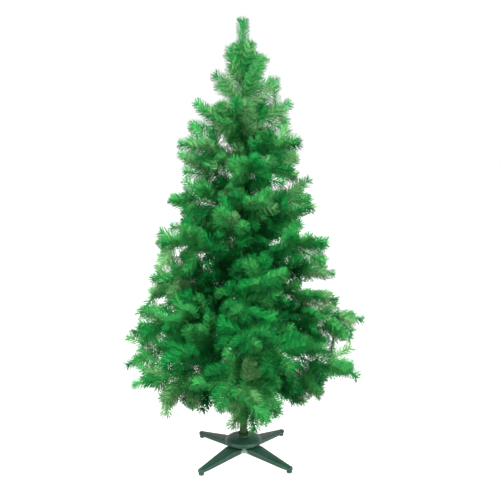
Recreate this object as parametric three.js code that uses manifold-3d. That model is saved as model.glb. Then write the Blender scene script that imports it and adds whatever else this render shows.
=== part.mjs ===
// An artificial Christmas tree, about 1.8 m tall, standing in a four-legged plastic stand.
// Millimetres, +Z up, origin on the floor under the pole. -Y is the front.
//
// A thin pole carries tiers of wire branches. Each branch is one stem that leaves the pole, with
// side twigs left and right of it, and every twig is a brush of needles round a wire. Here a brush
// is a slim three-sided core whose faces are raised into forward-swept needles.

import * as THREE from "three";
import { mergeVertices } from "three/addons/utils/BufferGeometryUtils.js";
import Module from "manifold-3d";

const wasm = await Module();
wasm.setup();

// Driving dimensions
const gap = 0.3; // clearance between neighbouring solids
const treeSeed = 27;

const pole = {
  foot: 33.3, // lower end, inside the hub's socket
  top: 1430,
  // Sections from the lowest up: radius, and the height where the next one plugs in
  sections: [
    { radius: 16.5, to: 640 },
    { radius: 13.5, to: 1115 },
    { radius: 10.5, to: 1430 },
  ],
  shoulder: 5, // height of the step between two sections
  sides: 16,
};

const hub = {
  radius: 79,
  rimLow: 59,
  rimHigh: 65,
  domeTop: 83,
  bossRadius: 34,
  bossLow: 30,
  socketFloor: 33,
  collarRadius: 25,
  collarTop: 90,
  sides: 32,
};

const leg = {
  count: 4,
  turn: 47.5, // degrees from +X to the first leg
  inner: hub.bossRadius + gap,
  widest: 37, // half the width, and how far out the legs part
  padAt: 251,
  tipHalfWidth: 14,
  topAtHub: 48,
  topAtTip: 24,
  lowAtHub: 31,
  lowAtTip: 13.5,
  crown: 1.6, // how far the top bulges between its edges
  edge: 5, // rounding along the top edges
  wall: 3,
  padRadius: 11.5,
  padSink: 2, // how far the foot pad reaches up into the leg
};

// Web under the rim in the notch between two legs: its corners as distance outwards, half the
// width and height
const web = {
  back: [53.2, 0, 38],
  backTop: [53.2, 0, 60],
  crest: [58, 4.5, 60],
  corner: [64.5, 14.7, 36],
  foot: [64.5, 14.7, 33],
};

const needle = {
  reach: 33, // how far needles stand out from a limb's middle
  core: 6, // radius of a twig's core where it leaves the stem
  clear: 3.5, // room kept to the space of the next branch
  offPole: 3, // room kept to the pole
  share: 1.15, // a needle keeps this much nearer to its own limb than to the next one
};

// Tiers from the lowest up: height on the pole, number of branches, how far they reach, the height
// of their ends, the slope at which they leave the pole, the turn of the first one in degrees, and
// how far side twigs may roll below the branch, in degrees.
const tiers = [
  { height: 350, count: 4, reach: 359, end: 241, slope: 0.01, turn: 188, sag: 95 },
  { height: 415, count: 5, reach: 453, end: 416, slope: 0.04, turn: 133, sag: 90 },
  { height: 475, count: 5, reach: 493, end: 394, slope: 0.21, turn: 188, sag: 70 },
  { height: 540, count: 5, reach: 472, end: 499, slope: 0.26, turn: 224, sag: 70 },
  { height: 605, count: 5, reach: 489, end: 610, slope: 0.26, turn: 131, sag: 60 },
  { height: 680, count: 4, reach: 384, end: 673, slope: 0.35, turn: 178, sag: 60 },
  { height: 760, count: 4, reach: 375, end: 791, slope: 0.3, turn: 280, sag: 60 },
  { height: 845, count: 4, reach: 395, end: 965, slope: 0.4, turn: 228, sag: 60 },
  { height: 935, count: 4, reach: 291, end: 1072, slope: 0.4, turn: 156, sag: 60 },
  { height: 1025, count: 4, reach: 299, end: 1090, slope: 0.51, turn: 200, sag: 60 },
  { height: 1125, count: 3, reach: 290, end: 1279, slope: 0.55, turn: 158, sag: 60 },
  { height: 1220, count: 3, reach: 257, end: 1312, slope: 0.68, turn: 203, sag: 60 },
  { height: 1330, count: 3, reach: 222, end: 1466, slope: 0.68, turn: 268, sag: 60 },
];

const branch = {
  turnJitter: 9, // degrees
  reachJitter: 0.045, // share of the reach
  endJitter: 18,
  bow: 16, // sideways bend at mid-length
  stemCore: 7, // radius of the stem where it leaves the pole
  innerLength: 56, // the stem's length inside its first side twig
  twigSpacing: 50,
  fewestTwigs: 3,
  twigLengthLow: 155, // in the lowest tier
  twigLengthHigh: 112, // in the highest
  twigRings: [0.2, 0.46, 0.74, 1], // rings of a side twig, as shares of its length
  endBrush: 112, // length of the brush at the stem's end
  endRings: [0.32, 0.66, 1],
  spread: 52, // degrees between a side twig and the stem
  lift: 75, // degrees that a side twig may roll above the branch
  hangFrom: 90, // with this sag or more, side twigs are tried below the branch first
  bend: 0.42, // how much a side twig turns back towards the stem's direction
  curl: 0.12, // how much it turns up
  tries: 6, // rolls tried before a side twig is left out
  low: 215, // side twigs end above this height
};

const leader = {
  top: 1792,
  core: 6,
  // Whorls of rising twigs under the top brush
  whorls: [
    { height: 1452, length: 165, tilt: 62 },
    { height: 1505, length: 155, tilt: 58 },
    { height: 1555, length: 135, tilt: 48 },
    { height: 1605, length: 105, tilt: 42 },
  ],
  perWhorl: 3,
};

const colours = {
  needles: 0x1d8f3a,
  bark: 0x39501f,
  plastic: 0x2b5a46,
};

const degrees = Math.PI / 180;
const up = new THREE.Vector3(0, 0, 1);

// A seeded stream of numbers from 0 to 1, one stream for each branch
function numbers(stream) {
  const size = 4294967296;
  let state = (treeSeed * 7919 + stream * 104729 + 12345) % size;
  const next = () => {
    state = (state * 1664525 + 1013904223) % size;
    return state / size;
  };
  for (let i = 0; i < 4; i++) next();
  return { next, between: (low, high) => low + (high - low) * next() };
}

// Branches and twigs as lines

// Every branch of the tiers as a line from the pole's middle to its end
function layBranches() {
  const laid = [];
  tiers.forEach((tier, level) => {
    for (let i = 0; i < tier.count; i++) {
      const random = numbers(laid.length);
      const turn = tier.turn + (360 * i) / tier.count + random.between(-1, 1) * branch.turnJitter;
      const reach = tier.reach * (1 + random.between(-1, 1) * branch.reachJitter);
      const end = tier.end + random.between(-1, 1) * branch.endJitter;
      const bow = random.between(-1, 1) * branch.bow;
      const out = new THREE.Vector3(Math.cos(turn * degrees), Math.sin(turn * degrees), 0);
      const side = new THREE.Vector3(-out.y, out.x, 0);
      const rise = tier.slope * reach;
      const fall = end - tier.height - rise;
      const at = (t) =>
        new THREE.Vector3(0, 0, tier.height + rise * t + fall * t * t)
          .addScaledVector(out, reach * t)
          .addScaledVector(side, bow * Math.sin(Math.PI * t));
      laid.push({ tier, level, index: i, reach, at, random });
    }
  });
  return laid;
}

// The direction of a line at t
function heading(at, t) {
  const step = 0.01;
  return at(Math.min(1, t + step)).sub(at(Math.max(0, t - step))).normalize();
}

const stationsPerStem = 14;
const branches = layBranches();
for (const each of branches)
  each.stations = Array.from({ length: stationsPerStem }, (_, k) => each.at((k + 1) / stationsPerStem));
const leaderStations = Array.from(
  { length: stationsPerStem },
  (_, k) => new THREE.Vector3(0, 0, pole.top + ((leader.top - pole.top) * (k + 1)) / stationsPerStem),
);
const allStations = [...branches.map((each) => each.stations), leaderStations];

function nearest(stations, p) {
  return Math.min(...stations.map((q) => q.distanceToSquared(p))) ** 0.5;
}

// A branch's own space is all that lies nearer to its stem than to any other stem
function inOwnSpace(own, p, room) {
  const mine = nearest(allStations[own], p) + room;
  return allStations.every((stations, k) => k === own || nearest(stations, p) > mine);
}

// A side twig's line: it leaves the stem at an angle, then bends along it and up
function twigLine(root, along, roll, spread, length) {
  const side = new THREE.Vector3().crossVectors(along, up).normalize();
  const over = new THREE.Vector3().crossVectors(side, along);
  const start = along
    .clone()
    .multiplyScalar(Math.cos(spread))
    .addScaledVector(side, Math.sin(spread) * Math.cos(roll))
    .addScaledVector(over, Math.sin(spread) * Math.sin(roll));
  const turned = start
    .clone()
    .addScaledVector(along, branch.bend)
    .addScaledVector(up, branch.curl)
    .normalize();
  return (t) =>
    root
      .clone()
      .addScaledVector(start, length * t * (1 - t / 2))
      .addScaledVector(turned, (length * t * t) / 2);
}

function newTwig(at, segment, angle) {
  return {
    at,
    segment,
    angle,
    stations: branch.twigRings,
    radiusAt: (t) => needle.core * (1 - 0.4 * t),
    bare: 1,
    forks: [],
  };
}

// The rings of a branch's stem, and its side twigs, left and right in turn from the pole outwards
function layStem(each, own) {
  const { tier, level, index, reach, at, random } = each;
  const share = level / (tiers.length - 1);
  const usual = branch.twigLengthLow + (branch.twigLengthHigh - branch.twigLengthLow) * share;
  const last = reach - branch.endBrush;
  const count = Math.max(branch.fewestTwigs, Math.round((last - branch.innerLength) / branch.twigSpacing));
  const rings = [branch.innerLength / reach];
  const twigs = [];
  for (let k = 0; k < count; k++) {
    const start = rings[k];
    rings.push((branch.innerLength + ((last - branch.innerLength) * (k + 1)) / count) / reach);
    const t = (start + rings[k + 1]) / 2;
    const root = at(t);
    const along = heading(at, t);
    const length = usual * random.between(0.86, 1.06);
    const spread = (branch.spread + random.between(-8, 8)) * degrees;
    const leftward = (k + index) % 2;
    const hangs = tier.sag >= branch.hangFrom && k > 0 ? 1 : 0;
    for (let attempt = 0; attempt < branch.tries; attempt++) {
      const isBelow = (attempt + hangs) % 2;
      const roll = (isBelow ? random.between(-tier.sag, 0) : random.between(0, branch.lift)) * degrees;
      const line = twigLine(root, along, leftward ? Math.PI - roll : roll, spread, length);
      const fits = [0.55, 1].every((end) => inOwnSpace(own, line(end), 2 * needle.core + 1));
      if (fits && line(1).z > branch.low) {
        twigs.push(newTwig(line, k + 1, leftward ? Math.PI : 0));
        break;
      }
    }
  }
  const brushFrom = rings.at(-1);
  rings.push(...branch.endRings.map((share) => brushFrom + (1 - brushFrom) * share));
  return { rings, twigs };
}

// Solids

function solidOf(positions, triangles) {
  return new wasm.Manifold(
    new wasm.Mesh({
      numProp: 3,
      vertProperties: Float32Array.from(positions.flatMap((p) => [p.x, p.y, p.z])),
      triVerts: Uint32Array.from(triangles.flat()),
    }),
  );
}

function solidOfGeometry(geometry) {
  const bare = geometry.clone();
  bare.deleteAttribute("normal");
  bare.deleteAttribute("uv");
  const merged = mergeVertices(bare, 1e-4);
  return new wasm.Manifold(
    new wasm.Mesh({
      numProp: 3,
      vertProperties: merged.attributes.position.array,
      triVerts: new Uint32Array(merged.index.array),
    }),
  );
}

function meshOf(name, solid, colour, roughness) {
  const made = solid.getMesh();
  const positions = new Float32Array(made.numVert * 3);
  for (let i = 0; i < made.numVert; i++)
    positions.set(made.vertProperties.subarray(i * made.numProp, i * made.numProp + 3), i * 3);
  const indexed = new THREE.BufferGeometry()
    .setAttribute("position", new THREE.BufferAttribute(positions, 3))
    .setIndex(new THREE.BufferAttribute(made.triVerts, 1));
  const geometry = indexed.toNonIndexed();
  geometry.computeVertexNormals();
  const mesh = new THREE.Mesh(
    geometry,
    new THREE.MeshStandardMaterial({ color: colour, roughness, metalness: 0 }),
  );
  mesh.name = name;
  return mesh;
}

function turnedSolid(profile, sides) {
  return solidOfGeometry(
    new THREE.LatheGeometry(profile.map(([r, z]) => new THREE.Vector2(r, z)), sides).rotateX(Math.PI / 2),
  );
}

// A mass of foliage grown as one closed surface. A limb is a slim three-sided core of rings, each
// turned against the last. Any face of it may be raised into a needle, or a twig may grow on from it.
function growMass(own, stem) {
  const sides = 3;
  const positions = [];
  const faces = [];
  const place = (p) => positions.push(p) - 1;
  const lines = [
    { stations: [0.1, 0.3, 0.5, 0.7, 0.9, 1].map(stem.at) },
    ...stem.forks.map((twig) => ({ stations: [0.2, 0.45, 0.7, 1].map(twig.at) })),
  ];

  // A needle keeps to the branch's space, off the pole, and nearer to its own limb than to the next
  const allowed = (line, point, halfway) => {
    if (Math.hypot(point.x, point.y) < poleRadius(point.z) + needle.offPole) return false;
    if (![point, halfway].every((p) => inOwnSpace(own, p, needle.clear))) return false;
    const mine = nearest(lines[line].stations, point);
    return lines.every((other, k) => k === line || nearest(other.stations, point) > mine * needle.share);
  };

  // Carries a limb on from three corners, through rings at the stations, to its tip
  const growLimb = (line, base, limb) => {
    const { at, stations, radiusAt, bare, forks } = limb;
    const firstFrame = frameAt(at, stations[0]);
    let corners = base;
    let middle = centroid(base.map((k) => positions[k]));
    // The first new ring is turned to lie between the corners that the limb starts on
    const lean = base.map((k, j) => angleIn(firstFrame, positions[k].clone().sub(middle)) - (2 * j * Math.PI) / sides);
    const phase = Math.atan2(sum(lean.map(Math.sin)), sum(lean.map(Math.cos)));
    stations.forEach((t, i) => {
      const isTip = i === stations.length - 1;
      const nearTip = i === stations.length - 2;
      const frame = frameAt(at, t);
      const from = middle;
      middle = frame.middle;
      const angleOf = (steps) => phase + (steps * Math.PI) / sides;
      const ring = isTip
        ? [place(frame.middle)]
        : corners.map((_, j) => place(spoke(frame, angleOf(2 * j + i + 1), radiusAt(t))));
      const raise = (face, steps, lift, reach) => {
        const angle = angleOf(steps);
        const fork = forks.find((twig) => twig.segment === i && Math.cos(angle - twig.angle) > 0.9);
        if (fork) {
          growLimb(1 + stem.forks.indexOf(fork), face, fork);
          return;
        }
        const root = from.clone().lerp(middle, lift);
        const point = spoke({ ...frame, middle: root }, angle, reach);
        if (i < bare || !allowed(line, point, root.clone().lerp(point, 0.6))) {
          faces.push(face);
          return;
        }
        const apex = place(point);
        face.forEach((corner, k) => faces.push([corner, face[(k + 1) % sides], apex]));
      };
      corners.forEach((corner, j) => {
        const after = corners[(j + 1) % sides];
        if (isTip) {
          raise([corner, after, ring[0]], 2 * j + i + 1, 0.66, needle.reach * 0.7);
          return;
        }
        raise([corner, after, ring[j]], 2 * j + i + 1, 0.85, needle.reach);
        raise([after, ring[(j + 1) % sides], ring[j]], 2 * j + i + 2, nearTip ? 1.02 : 1.15, needle.reach * (nearTip ? 0.9 : 1));
      });
      corners = ring;
    });
  };

  const butt = Array.from({ length: sides }, (_, j) => {
    const foot = { middle: stem.at(stem.from), ...across(stem.leaves) };
    return place(spoke(foot, (2 * j * Math.PI) / sides, stem.radiusAt(stem.from)));
  });
  faces.push([butt[2], butt[1], butt[0]]);
  growLimb(0, butt, stem);
  return solidOf(positions, faces);
}

const sum = (list) => list.reduce((a, b) => a + b, 0);

function centroid(points) {
  return points.reduce((a, b) => a.add(b), new THREE.Vector3()).divideScalar(points.length);
}

// Two directions across a heading, the first one level
function across(along) {
  const level = Math.hypot(along.x, along.y) > 0.05 ? up : new THREE.Vector3(0, 1, 0);
  const first = new THREE.Vector3().crossVectors(along, level).normalize();
  return { along, first, second: new THREE.Vector3().crossVectors(along, first) };
}

function frameAt(at, t) {
  return { middle: at(t), ...across(heading(at, t)) };
}

function angleIn(frame, direction) {
  return Math.atan2(direction.dot(frame.second), direction.dot(frame.first));
}

function spoke(frame, angle, radius) {
  return frame.middle
    .clone()
    .addScaledVector(frame.first, radius * Math.cos(angle))
    .addScaledVector(frame.second, radius * Math.sin(angle));
}

// The pole: three sections, each a little thinner than the one that it plugs into
function poleSolid() {
  const profile = [[0, pole.foot]];
  let height = pole.foot;
  pole.sections.forEach(({ radius, to }, i) => {
    profile.push([radius, height + (i ? pole.shoulder : 0)], [radius, to]);
    height = to;
  });
  profile.push([0, pole.top]);
  return turnedSolid(profile, pole.sides);
}

function poleRadius(z) {
  const section = pole.sections.find(({ to }) => z < to + pole.shoulder);
  return section ? section.radius : -needle.offPole;
}

// The stand's hub: a shallow dome over a boss with the socket for the pole, and four webs
function hubSolid() {
  const bore = pole.sections[0].radius + gap;
  const domeSteps = 4;
  const profile = [
    [0, hub.bossLow],
    [hub.bossRadius - 2, hub.bossLow],
    [hub.bossRadius, hub.bossLow + 2],
    [hub.bossRadius, hub.rimLow],
    [hub.radius - 2, hub.rimLow],
    [hub.radius, hub.rimLow + 2],
    [hub.radius, hub.rimHigh - 1],
  ];
  for (let i = 0; i <= domeSteps; i++) {
    const angle = ((i / domeSteps) * 0.9 * Math.PI) / 2;
    const inner = hub.collarRadius + 3;
    profile.push([
      inner + (hub.radius - 2 - inner) * Math.cos(angle),
      hub.rimHigh + (hub.domeTop - hub.rimHigh) * Math.sin(angle),
    ]);
  }
  profile.push(
    [hub.collarRadius, hub.domeTop],
    [bore + 3.5, hub.collarTop - 3],
    [bore + 2, hub.collarTop],
    [bore, hub.collarTop],
    [bore, hub.socketFloor],
    [0, hub.socketFloor],
  );
  const corners = Object.values(web).flatMap(([out, half, z]) => [[out, half, z], [out, -half, z]]);
  const webs = Array.from({ length: leg.count }, (_, i) =>
    wasm.Manifold.hull(corners).rotate([0, 0, leg.turn + (360 / leg.count) * (i + 0.5)]),
  );
  return wasm.Manifold.union([turnedSolid(profile, hub.sides), ...webs]);
}

// A leg of the stand along +X: a channel with a crowned top, tapering to a round end over a foot pad
function legSolid() {
  const padEnd = leg.padAt + leg.tipHalfWidth;
  const roundSteps = 4;
  const straight = [leg.inner, leg.widest, hub.radius, leg.padAt - 25, leg.padAt];
  const round = Array.from({ length: roundSteps }, (_, i) => {
    const angle = ((i + 1) / (roundSteps + 0.35)) * (Math.PI / 2);
    return leg.padAt + leg.tipHalfWidth * Math.sin(angle);
  });
  const halfWidth = (x) => {
    if (x < leg.widest) return x - gap / Math.SQRT2;
    if (x > leg.padAt) return Math.sqrt(leg.tipHalfWidth ** 2 - (x - leg.padAt) ** 2);
    return leg.widest + ((leg.tipHalfWidth - leg.widest) * (x - leg.widest)) / (leg.padAt - leg.widest) - gap / Math.SQRT2;
  };
  const slide = (x) => Math.max(0, Math.min(1, (x - hub.radius) / (leg.padAt - hub.radius)));
  const top = (x) => leg.topAtHub + (leg.topAtTip - leg.topAtHub) * slide(x) - (x > leg.padAt ? ((x - leg.padAt) / leg.tipHalfWidth) ** 3 * 4 : 0);
  const low = (x) => leg.lowAtHub + (leg.lowAtTip - leg.lowAtHub) * Math.min(1, (x - leg.widest) / (leg.padAt - 25 - leg.widest));

  // Cross-section at x: from the foot of one side wall, over the top, to the foot of the other
  const section = (x, inset, drop) => {
    const wide = Math.max(0.5, halfWidth(x) - inset);
    const high = top(x) - inset;
    const edge = Math.min(leg.edge, wide * 0.8);
    const half = [
      [wide, low(x) - drop],
      [wide, high - edge],
      [wide - edge * 0.3, high - edge * 0.3],
      [wide - edge, high],
    ];
    return [...half, [0, high + leg.crown], ...half.map(([y, z]) => [-y, z]).reverse()];
  };
  const loft = (stations, inset, drop) => {
    const rings = stations.map((x) => section(x, inset, drop).map(([y, z]) => new THREE.Vector3(x, y, z)));
    const size = rings[0].length;
    const faces = [];
    rings.slice(1).forEach((_, i) => {
      for (let j = 0; j < size; j++) {
        const a = i * size + j;
        const b = i * size + ((j + 1) % size);
        faces.push([a, b, a + size], [b, b + size, a + size]);
      }
    });
    const lastRing = (rings.length - 1) * size;
    for (let j = 1; j < size - 1; j++) {
      faces.push([0, j + 1, j]);
      faces.push([lastRing, lastRing + j, lastRing + j + 1]);
    }
    return solidOf(rings.flat(), faces);
  };
  const outer = loft([...straight, ...round.filter((x) => x < padEnd)], 0, 0);
  const hollow = loft([leg.inner + leg.wall, leg.widest + leg.wall, hub.radius, leg.padAt - 25, leg.padAt - 16], leg.wall, 20);
  const pad = turnedSolid(
    [
      [0, 0],
      [leg.padRadius - 1, 0],
      [leg.padRadius, 1],
      [leg.padRadius, 6],
      [leg.padRadius - 2.5, leg.lowAtTip + leg.padSink],
      [0, leg.lowAtTip + leg.padSink],
    ],
    16,
  ).translate([leg.padAt, 0, 0]);
  return outer.subtract(hollow).add(pad);
}

// The tree as named meshes
const tree = new THREE.Group();

tree.add(meshOf("stand_hub", hubSolid(), colours.plastic, 0.4));
const legShape = legSolid();
for (let i = 0; i < leg.count; i++) {
  const turned = legShape.rotate([0, 0, leg.turn + (360 / leg.count) * i]);
  tree.add(meshOf(`stand_leg_${i + 1}`, turned, colours.plastic, 0.4));
}
tree.add(meshOf("trunk_pole", poleSolid(), colours.bark, 0.8));

branches.forEach((each, own) => {
  const { rings, twigs } = layStem(each, own);
  const leaves = each.at(1).setZ(0).normalize();
  const stem = {
    at: each.at,
    from: (poleRadius(each.tier.height) + gap) / each.reach,
    leaves,
    stations: rings,
    radiusAt: (t) => branch.stemCore + (needle.core - branch.stemCore) * t,
    bare: 0,
    forks: twigs,
  };
  tree.add(meshOf(`branch_${each.level + 1}_${each.index + 1}`, growMass(own, stem), colours.needles, 0.55));
});

// The leader: a rod that carries on from the pole's top, with whorls of rising twigs and the top brush
const rodFrom = pole.top + gap;
const rod = (t) => new THREE.Vector3(0, 0, rodFrom + (leader.top - rodFrom) * t);
const shareOf = (height) => (height - rodFrom) / (leader.top - rodFrom);
const whorlTwigs = leader.whorls.flatMap((whorl, level) => {
  const random = numbers(branches.length + level);
  return Array.from({ length: leader.perWhorl }, (_, i) => {
    // The rod's faces look out in six directions, a third of them from each segment's first ring
    const angle = ((2 * i + level + 1) * Math.PI) / 3;
    const turn = angle + random.between(-12, 12) * degrees;
    const tilt = (whorl.tilt + random.between(-6, 6)) * degrees;
    const length = whorl.length * random.between(0.9, 1.08);
    const frame = across(up);
    const out = spoke({ ...frame, middle: new THREE.Vector3() }, turn, 1);
    const start = out.multiplyScalar(Math.sin(tilt)).addScaledVector(up, Math.cos(tilt));
    const root = new THREE.Vector3(0, 0, whorl.height);
    const at = (t) =>
      root.clone().addScaledVector(start, length * t * (1 - t * 0.1)).addScaledVector(up, length * t * t * 0.12);
    return newTwig(at, level, angle);
  });
});
const leaderStem = {
  at: rod,
  from: 0,
  leaves: up,
  stations: [...leader.whorls.map((whorl) => shareOf(whorl.height + 22)), 0.78, 0.89, 1],
  radiusAt: (t) => leader.core + (needle.core - leader.core) * t,
  bare: 0,
  forks: whorlTwigs,
};
tree.add(meshOf("leader", growMass(branches.length, leaderStem), colours.needles, 0.55));

export default tree;
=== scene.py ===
import math

import bpy
import numpy as np
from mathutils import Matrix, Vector, noise


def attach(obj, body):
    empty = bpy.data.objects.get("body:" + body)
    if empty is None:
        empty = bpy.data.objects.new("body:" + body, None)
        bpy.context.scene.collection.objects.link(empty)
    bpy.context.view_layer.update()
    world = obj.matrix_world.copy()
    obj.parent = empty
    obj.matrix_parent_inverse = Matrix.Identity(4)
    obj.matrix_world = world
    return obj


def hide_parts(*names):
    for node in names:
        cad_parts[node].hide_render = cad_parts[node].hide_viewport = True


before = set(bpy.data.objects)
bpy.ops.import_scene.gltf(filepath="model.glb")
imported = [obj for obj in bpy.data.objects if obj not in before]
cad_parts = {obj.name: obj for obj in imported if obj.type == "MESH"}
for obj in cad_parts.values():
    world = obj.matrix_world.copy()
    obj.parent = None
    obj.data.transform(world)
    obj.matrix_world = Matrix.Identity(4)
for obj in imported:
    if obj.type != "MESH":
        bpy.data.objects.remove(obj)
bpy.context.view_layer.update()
scene = bpy.context.scene
gap = 0.0003  # clearance that the part keeps between neighbouring solids

# Camera, at the height and distance that the photograph was taken from

view = {"place": (0, -2.87, 1.382), "tilt": 80.13, "turn": -0.55, "lens": 51.7}

cameraData = bpy.data.cameras.new("camera")
cameraData.lens = view["lens"]
camera = bpy.data.objects.new("camera", cameraData)
camera.location = view["place"]
camera.rotation_euler = (math.radians(view["tilt"]), 0, math.radians(view["turn"]))
scene.collection.objects.link(camera)
scene.camera = camera

# Branches and twigs as lines, by the part's rule

treeSeed = 27
up = np.array([0.0, 0.0, 1.0])

pole = {
    "foot": 0.0333,
    "top": 1.430,
    # sections from the lowest up: radius, and the height where the next one plugs in
    "sections": [(0.0165, 0.640), (0.0135, 1.115), (0.0105, 1.430)],
    "shoulder": 0.005,
}

# turn and sag in degrees; sag is how far below the branch its side twigs may hang
tierKeys = ("height", "count", "reach", "end", "slope", "turn", "sag")
tierRows = [
    (0.350, 4, 0.359, 0.241, 0.01, 188, 95),
    (0.415, 5, 0.453, 0.416, 0.04, 133, 90),
    (0.475, 5, 0.493, 0.394, 0.21, 188, 70),
    (0.540, 5, 0.472, 0.499, 0.26, 224, 70),
    (0.605, 5, 0.489, 0.610, 0.26, 131, 60),
    (0.680, 4, 0.384, 0.673, 0.35, 178, 60),
    (0.760, 4, 0.375, 0.791, 0.30, 280, 60),
    (0.845, 4, 0.395, 0.965, 0.40, 228, 60),
    (0.935, 4, 0.291, 1.072, 0.40, 156, 60),
    (1.025, 4, 0.299, 1.090, 0.51, 200, 60),
    (1.125, 3, 0.290, 1.279, 0.55, 158, 60),
    (1.220, 3, 0.257, 1.312, 0.68, 203, 60),
    (1.330, 3, 0.222, 1.466, 0.68, 268, 60),
]
tiers = [dict(zip(tierKeys, row)) for row in tierRows]

branch = {
    "turnJitter": 9,  # degrees
    "reachJitter": 0.045,  # share of the reach
    "endJitter": 0.018,
    "bow": 0.016,
    "innerLength": 0.056,  # the stem's length inside its first side twig
    "twigSpacing": 0.050,
    "fewestTwigs": 3,
    "twigLengthLow": 0.155,
    "twigLengthHigh": 0.112,
    "twigJitter": (0.86, 1.06),
    "endBrush": 0.112,
    "spread": 52,  # degrees between a side twig and the stem
    "spreadJitter": 8,
    "lift": 75,
    "hangFrom": 90,  # with this sag or more, side twigs are tried below the branch first
    "bend": 0.42,
    "curl": 0.12,
    "room": 0.013,
    "clearAt": (0.55, 1),  # shares of a twig's length that have to lie in its branch's own space
    "tries": 6,
    "low": 0.215,  # side twigs end above this height
}

leader = {
    "top": 1.792,
    # whorls of rising twigs under the top brush: height, length, tilt in degrees
    "whorls": [(1.452, 0.165, 62), (1.505, 0.155, 58), (1.555, 0.135, 48), (1.605, 0.105, 42)],
    "perWhorl": 3,
    "turnJitter": 12,
    "tiltJitter": 6,
    "lengthJitter": (0.9, 1.08),
    "slow": 0.1,  # share of its first direction that a twig loses
    "curl": 0.12,
}

# Twigs that only the scene has, with each kind's length as a share of the usual one
finer = {
    "streams": {"twigs": 7172, "tints": 3000, "leader": 2000},
    "tries": 5,
    "fewTries": 4,  # for hanging twigs and those beside the end brush
    "room": -0.022,  # below 0: such a twig may reach a little past the middle between two stems
    # one across from each side twig, a little further along, that stands out more from the stem
    "opposite": (0.72, 0.98),
    "oppositeAt": 0.012,
    "oppositeSpread": (55, 85),
    "oppositeLift": 90,
    # two beside the stem's end brush
    "flank": (0.72, 0.92),
    "flankRoll": (-35, 35),
    "flankSpread": 32,
    "flankJitter": 6,
    # two close to the pole
    "base": (0.75, 1.0),
    "baseAt": (0.008, 0.030),
    "baseSpread": 74,
    "baseJitter": 12,
    # filling, to any side, fewer from tier topFrom up
    "fill": (0.70, 1.0),
    "fillCount": 9,
    "fillAt": (0.04, 0.55),
    "fillSpread": (50, 95),
    "topFrom": 10,
    "topFill": 7,
    # twigs that hang from each branch of the lowest tiers, down to dropLow at most
    "drop": (0.80, 1.0),
    "dropCount": 2,
    "dropAt": (0.50, 0.97),
    "dropSpread": (62, 88),
    "dropRoll": (-50, -15),
    "dropLow": 0.225,
    "dropShortest": 0.05,
    # between the leader's own twigs
    "leaderShare": 0.8,
    "leaderJitter": (0.85, 1.05),
    "leaderAbove": 0.024,
    "leaderTilt": (-14, 4),
}

# What kind a side twig's brush is, by where it grows; the kinds carry painted light and painted shade
paintedLightKinds = {
    "paleFrom": 7,  # between these tiers more and more brushes are pale, painted light on the crown's top
    "paleTo": 12,
    "edgeFrom": 0.70,  # share of the reach past which a brush at the crown's side is an edge one, dealt paler tints as painted light
    "innerTo": 0.45,  # share of the stem up to which it is an inner one, dealt darker tints as painted shade
}

# Twigs at the crown's edge that stand where the photograph shows one:
# branch, share of the way along it, side, roll, spread, length
edgeTwigs = [
    (0, 0.44, 1, -43, 86, 0.146), (0, 0.48, 1, -66, 35, 0.124),
    (2, 0.58, 0, -31, 76, 0.141), (5, 0.76, 0, 59, 65, 0.169),
    (5, 0.78, 0, 10, 63, 0.141), (5, 0.78, 1, -66, 87, 0.164),
    (6, 0.68, 1, -26, 89, 0.163), (11, 0.39, 0, -83, 27, 0.126),
    (16, 0.83, 1, -64, 80, 0.163), (24, 0.95, 1, -29, 70, 0.123),
    (26, 0.47, 0, -88, 28, 0.168), (31, 0.69, 1, 89, 73, 0.170),
    (31, 0.82, 0, -75, 53, 0.104), (32, 0.82, 0, -77, 79, 0.127),
    (33, 0.64, 1, -74, 44, 0.154), (35, 0.76, 1, -4, 84, 0.130),
    (36, 0.65, 1, 0, 27, 0.152), (42, 0.54, 0, 44, 47, 0.159),
    (42, 0.62, 0, -88, 29, 0.145), (44, 0.36, 1, -17, 57, 0.161),
    (45, 0.58, 1, -34, 83, 0.163), (51, 0.70, 1, 73, 64, 0.148),
    (51, 0.74, 1, -54, 84, 0.112), (52, 0.36, 1, -72, 46, 0.152),
]
# the same on the leader: height, turn, tilt, length
edgeWhorl = [(1.507, 185, 76, 0.141), (1.544, 181, 46, 0.141)]


# A seeded stream of numbers, one stream for each branch, as in the part's source
def numbers(stream):
    size = 2**32
    state = (treeSeed * 7919 + stream * 104729 + 12345) % size

    def draw(low=0.0, high=1.0):
        nonlocal state
        state = (state * 1664525 + 1013904223) % size
        return low + (high - low) * state / size

    for _ in range(4):
        draw()
    return draw


def unit(vectors):
    return vectors / np.linalg.norm(vectors, axis=-1, keepdims=True)


def poleRadius(z):
    return next((radius for radius, to in pole["sections"] if z < to + pole["shoulder"]), 0)


def stemLine(tier, turn, reach, end, bow):
    out = np.array([math.cos(turn), math.sin(turn), 0])
    side = np.array([-out[1], out[0], 0])
    rise = tier["slope"] * reach
    fall = end - tier["height"] - rise

    def at(t):
        t = np.asarray(t, float)
        height = tier["height"] + rise * t + fall * t * t
        return (np.multiply.outer(height, up) + np.multiply.outer(reach * t, out)
                + np.multiply.outer(bow * np.sin(np.pi * t), side))

    return at


def layBranches():
    laid = []
    for level, tier in enumerate(tiers):
        for index in range(tier["count"]):
            draw = numbers(len(laid))
            turn = tier["turn"] + 360 * index / tier["count"] + draw(-1, 1) * branch["turnJitter"]
            reach = tier["reach"] * (1 + draw(-1, 1) * branch["reachJitter"])
            end = tier["end"] + draw(-1, 1) * branch["endJitter"]
            bow = draw(-1, 1) * branch["bow"]
            at = stemLine(tier, math.radians(turn), reach, end, bow)
            laid.append({"tier": tier, "level": level, "index": index, "reach": reach, "at": at,
                         "draw": draw})
    return laid


def heading(at, t):
    step = 0.01
    return unit(at(np.minimum(1, t + step)) - at(np.maximum(0, t - step)))


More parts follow.
